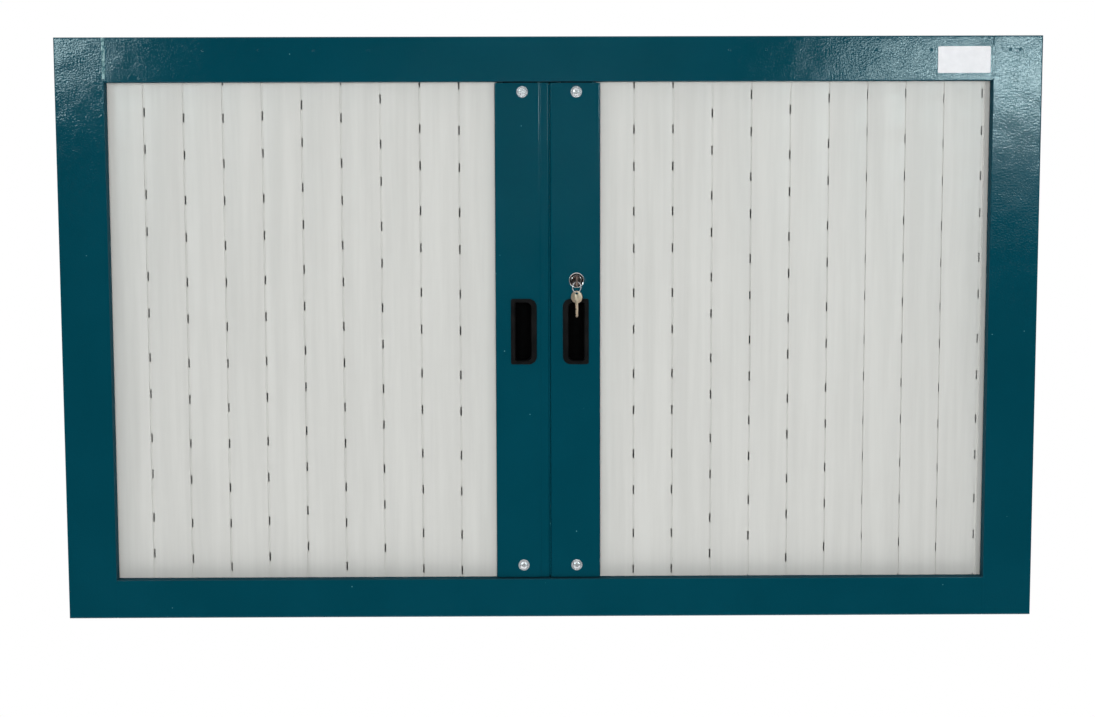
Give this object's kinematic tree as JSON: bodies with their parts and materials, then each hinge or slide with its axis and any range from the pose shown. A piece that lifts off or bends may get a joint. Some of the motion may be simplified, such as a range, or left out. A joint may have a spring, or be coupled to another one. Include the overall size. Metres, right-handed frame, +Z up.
{
  "type": "wall-mounted tool cabinet",
  "caption": "Wall-mounted steel cabinet for hand tools, closed by tambour curtains of upright plastic slats that slide apart, with recessed grips, a cam lock and keys.",
  "frame": {"origin": "centre of the wall bolt pattern, on the outside of the back panel", "axes": "+X to the right along the width, +Y into the wall, -Y to the front, +Z up"},
  "size_m": [1.2, 0.2642, 0.716],
  "materials": {
    "cabinet_paint": "dark teal fine-textured powder coat, satin",
    "inner_paint": "light grey powder coat, satin",
    "slat_plastic": "light grey extruded plastic, satin",
    "handle_plastic": "black moulded plastic, satin",
    "guide_plastic": "black nylon",
    "track_aluminium": "mill finish",
    "zinc_plate": "bright zinc plate",
    "lock_nickel": "polished nickel plate",
    "key_steel": "nickel-plated steel, lightly worn",
    "label_white": "plain white, satin"
  },
  "bodies": {
    "case": {"back_panel": "cabinet_paint", "top_panel": "cabinet_paint", "bottom_panel": "cabinet_paint", "left_side_panel": "cabinet_paint", "right_side_panel": "cabinet_paint", "frame_left_stile": "cabinet_paint", "frame_right_stile": "cabinet_paint", "frame_top_rail": "cabinet_paint", "frame_bottom_rail": "cabinet_paint", "tool_board": "inner_paint", "tool_board_spacers": "zinc_plate", "tool_board_screws": "zinc_plate", "left_inner_liner": "inner_paint", "right_inner_liner": "inner_paint", "upper_left_track": "track_aluminium", "upper_right_track": "track_aluminium", "lower_left_track": "track_aluminium", "lower_right_track": "track_aluminium", "blank_label": "label_white", "left_slat_11": "slat_plastic", "left_slat_12": "slat_plastic", "right_slat_12": "slat_plastic"},
    "left_door": {"left_lead_stile": "cabinet_paint", "left_curtain_bar": "track_aluminium", "left_handle_cup": "handle_plastic", "left_guide_blocks": "guide_plastic", "left_stile_screws": "zinc_plate"},
    "right_door": {"right_lead_stile": "cabinet_paint", "right_curtain_bar": "track_aluminium", "right_handle_cup": "handle_plastic", "right_guide_blocks": "guide_plastic", "right_stile_screws": "zinc_plate", "lock_body": "lock_nickel", "lock_nut": "zinc_plate"},
    "lock_barrel": {"lock_plug": "lock_nickel", "lock_cam": "zinc_plate"},
    "key": {"key": "key_steel"},
    "key_ring": {"key_ring": "key_steel"},
    "spare_key": {"spare_key": "key_steel"},
    "left_slat_01": {"left_slat_01": "slat_plastic"},
    "left_slat_02": {"left_slat_02": "slat_plastic"},
    "left_slat_03": {"left_slat_03": "slat_plastic"},
    "left_slat_04": {"left_slat_04": "slat_plastic"},
    "left_slat_05": {"left_slat_05": "slat_plastic"},
    "left_slat_06": {"left_slat_06": "slat_plastic"},
    "left_slat_07": {"left_slat_07": "slat_plastic"},
    "left_slat_08": {"left_slat_08": "slat_plastic"},
    "left_slat_09": {"left_slat_09": "slat_plastic"},
    "left_slat_10": {"left_slat_10": "slat_plastic"},
    "right_slat_01": {"right_slat_01": "slat_plastic"},
    "right_slat_02": {"right_slat_02": "slat_plastic"},
    "right_slat_03": {"right_slat_03": "slat_plastic"},
    "right_slat_04": {"right_slat_04": "slat_plastic"},
    "right_slat_05": {"right_slat_05": "slat_plastic"},
    "right_slat_06": {"right_slat_06": "slat_plastic"},
    "right_slat_07": {"right_slat_07": "slat_plastic"},
    "right_slat_08": {"right_slat_08": "slat_plastic"},
    "right_slat_09": {"right_slat_09": "slat_plastic"},
    "right_slat_10": {"right_slat_10": "slat_plastic"},
    "right_slat_11": {"right_slat_11": "slat_plastic"}
  },
  "joints": [
    {"name": "left_door_slide", "type": "slide", "parent": "case", "child": "left_door", "axis": [-1, 0, 0], "range_m": [0, 0.47], "deforming": ["left_slat_01", "left_slat_02", "left_slat_03", "left_slat_04", "left_slat_05", "left_slat_06", "left_slat_07", "left_slat_08", "left_slat_09", "left_slat_10"]},
    {"name": "right_door_slide", "type": "slide", "parent": "case", "child": "right_door", "axis": [1, 0, 0], "range_m": [0, 0.476], "deforming": ["right_slat_01", "right_slat_02", "right_slat_03", "right_slat_04", "right_slat_05", "right_slat_06", "right_slat_07", "right_slat_08", "right_slat_09", "right_slat_10", "right_slat_11"]},
    {"name": "left_slat_01_slide", "type": "slide", "parent": "case", "child": "left_slat_01", "axis": [-1, 0, 0], "range_m": [0, 0.4705]},
    {"name": "left_slat_02_slide", "type": "slide", "parent": "case", "child": "left_slat_02", "axis": [-1, 0, 0], "range_m": [0, 0.4231]},
    {"name": "left_slat_03_slide", "type": "slide", "parent": "case", "child": "left_slat_03", "axis": [-1, 0, 0], "range_m": [0, 0.3757]},
    {"name": "left_slat_04_slide", "type": "slide", "parent": "case", "child": "left_slat_04", "axis": [-1, 0, 0], "range_m": [0, 0.3283]},
    {"name": "left_slat_05_slide", "type": "slide", "parent": "case", "child": "left_slat_05", "axis": [-1, 0, 0], "range_m": [0, 0.2809]},
    {"name": "left_slat_06_slide", "type": "slide", "parent": "case", "child": "left_slat_06", "axis": [-1, 0, 0], "range_m": [0, 0.2335]},
    {"name": "left_slat_07_slide", "type": "slide", "parent": "case", "child": "left_slat_07", "axis": [-1, 0, 0], "range_m": [0, 0.1861]},
    {"name": "left_slat_08_slide", "type": "slide", "parent": "case", "child": "left_slat_08", "axis": [-1, 0, 0], "range_m": [0, 0.1387]},
    {"name": "left_slat_09_slide", "type": "slide", "parent": "case", "child": "left_slat_09", "axis": [-1, 0, 0], "range_m": [0, 0.0913]},
    {"name": "left_slat_10_slide", "type": "slide", "parent": "case", "child": "left_slat_10", "axis": [-1, 0, 0], "range_m": [0, 0.0439]},
    {"name": "right_slat_01_slide", "type": "slide", "parent": "case", "child": "right_slat_01", "axis": [1, 0, 0], "range_m": [0, 0.4765]},
    {"name": "right_slat_02_slide", "type": "slide", "parent": "case", "child": "right_slat_02", "axis": [1, 0, 0], "range_m": [0, 0.42938]},
    {"name": "right_slat_03_slide", "type": "slide", "parent": "case", "child": "right_slat_03", "axis": [1, 0, 0], "range_m": [0, 0.38198]},
    {"name": "right_slat_04_slide", "type": "slide", "parent": "case", "child": "right_slat_04", "axis": [1, 0, 0], "range_m": [0, 0.33469]},
    {"name": "right_slat_05_slide", "type": "slide", "parent": "case", "child": "right_slat_05", "axis": [1, 0, 0], "range_m": [0, 0.28768]},
    {"name": "right_slat_06_slide", "type": "slide", "parent": "case", "child": "right_slat_06", "axis": [1, 0, 0], "range_m": [0, 0.24074]},
    {"name": "right_slat_07_slide", "type": "slide", "parent": "case", "child": "right_slat_07", "axis": [1, 0, 0], "range_m": [0, 0.1941]},
    {"name": "right_slat_08_slide", "type": "slide", "parent": "case", "child": "right_slat_08", "axis": [1, 0, 0], "range_m": [0, 0.14808]},
    {"name": "right_slat_09_slide", "type": "slide", "parent": "case", "child": "right_slat_09", "axis": [1, 0, 0], "range_m": [0, 0.10185]},
    {"name": "right_slat_10_slide", "type": "slide", "parent": "case", "child": "right_slat_10", "axis": [1, 0, 0], "range_m": [0, 0.05581]},
    {"name": "right_slat_11_slide", "type": "slide", "parent": "case", "child": "right_slat_11", "axis": [1, 0, 0], "range_m": [0, 0.00841]},
    {"name": "lock_turn", "type": "hinge", "parent": "right_door", "child": "lock_barrel", "pos_m": [0.033, -0.245, 0.0621], "axis": [0, 1, 0], "range_deg": [0, 90]},
    {"name": "key_pull", "type": "slide", "parent": "lock_barrel", "child": "key", "axis": [0, -1, 0], "range_m": [0, 0.02]},
    {"name": "key_ring_swing", "type": "hinge", "parent": "key", "child": "key_ring", "pos_m": [0.033, -0.2582, 0.06055], "axis": [0.8192, 0.5736, 0], "range_deg": [-20, 20]},
    {"name": "spare_key_swing", "type": "hinge", "parent": "key_ring", "child": "spare_key", "pos_m": [0.033, -0.2582, 0.04775], "axis": [0.8192, 0.5736, 0], "range_deg": [-20, 20]}
  ],
  "couplings": [
    {"joint": "left_slat_01_slide", "follows": "left_door_slide", "ratio": 1},
    {"joint": "left_slat_02_slide", "follows": "left_door_slide", "ratio": 0.89915},
    {"joint": "left_slat_03_slide", "follows": "left_door_slide", "ratio": 0.7983},
    {"joint": "left_slat_04_slide", "follows": "left_door_slide", "ratio": 0.69745},
    {"joint": "left_slat_05_slide", "follows": "left_door_slide", "ratio": 0.5966},
    {"joint": "left_slat_06_slide", "follows": "left_door_slide", "ratio": 0.49574},
    {"joint": "left_slat_07_slide", "follows": "left_door_slide", "ratio": 0.39489},
    {"joint": "left_slat_08_slide", "follows": "left_door_slide", "ratio": 0.29404},
    {"joint": "left_slat_09_slide", "follows": "left_door_slide", "ratio": 0.19319},
    {"joint": "left_slat_10_slide", "follows": "left_door_slide", "ratio": 0.09234},
    {"joint": "right_slat_01_slide", "follows": "right_door_slide", "ratio": 1},
    {"joint": "right_slat_02_slide", "follows": "right_door_slide", "ratio": 0.901},
    {"joint": "right_slat_03_slide", "follows": "right_door_slide", "ratio": 0.80142},
    {"joint": "right_slat_04_slide", "follows": "right_door_slide", "ratio": 0.70208},
    {"joint": "right_slat_05_slide", "follows": "right_door_slide", "ratio": 0.60332},
    {"joint": "right_slat_06_slide", "follows": "right_door_slide", "ratio": 0.50471},
    {"joint": "right_slat_07_slide", "follows": "right_door_slide", "ratio": 0.40672},
    {"joint": "right_slat_08_slide", "follows": "right_door_slide", "ratio": 0.31004},
    {"joint": "right_slat_09_slide", "follows": "right_door_slide", "ratio": 0.21293},
    {"joint": "right_slat_10_slide", "follows": "right_door_slide", "ratio": 0.1162},
    {"joint": "right_slat_11_slide", "follows": "right_door_slide", "ratio": 0.01662}
  ]
}
